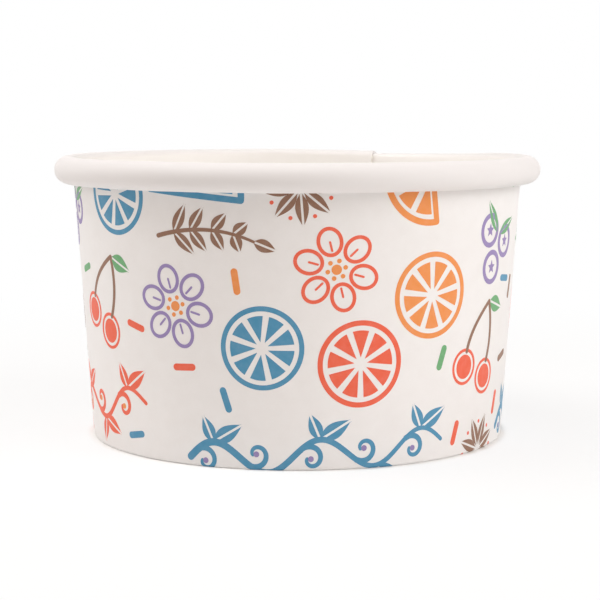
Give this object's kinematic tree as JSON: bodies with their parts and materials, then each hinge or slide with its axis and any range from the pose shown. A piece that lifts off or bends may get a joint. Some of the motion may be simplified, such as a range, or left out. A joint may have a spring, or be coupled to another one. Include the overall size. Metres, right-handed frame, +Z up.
{
  "type": "paper dessert cup",
  "caption": "Round tapered paperboard cup with a rolled rim, a lapped side seam and a recessed base, printed all over with fruit and scroll shapes, for ice cream or dessert.",
  "frame": {"origin": "centre of the foot, on the surface that the cup stands on", "axes": "+Z up along the cup's axis; the lapped side seam is towards +Y, and the picture shows the -Y side, from about 22 degrees towards +X"},
  "size_m": [0.087, 0.087, 0.05],
  "materials": {
    "wall_board": "coated, satin",
    "base_board": "coated, satin"
  },
  "bodies": {
    "root": {"side_wall": "wall_board", "base_disc": "base_board"}
  },
  "joints": []
}
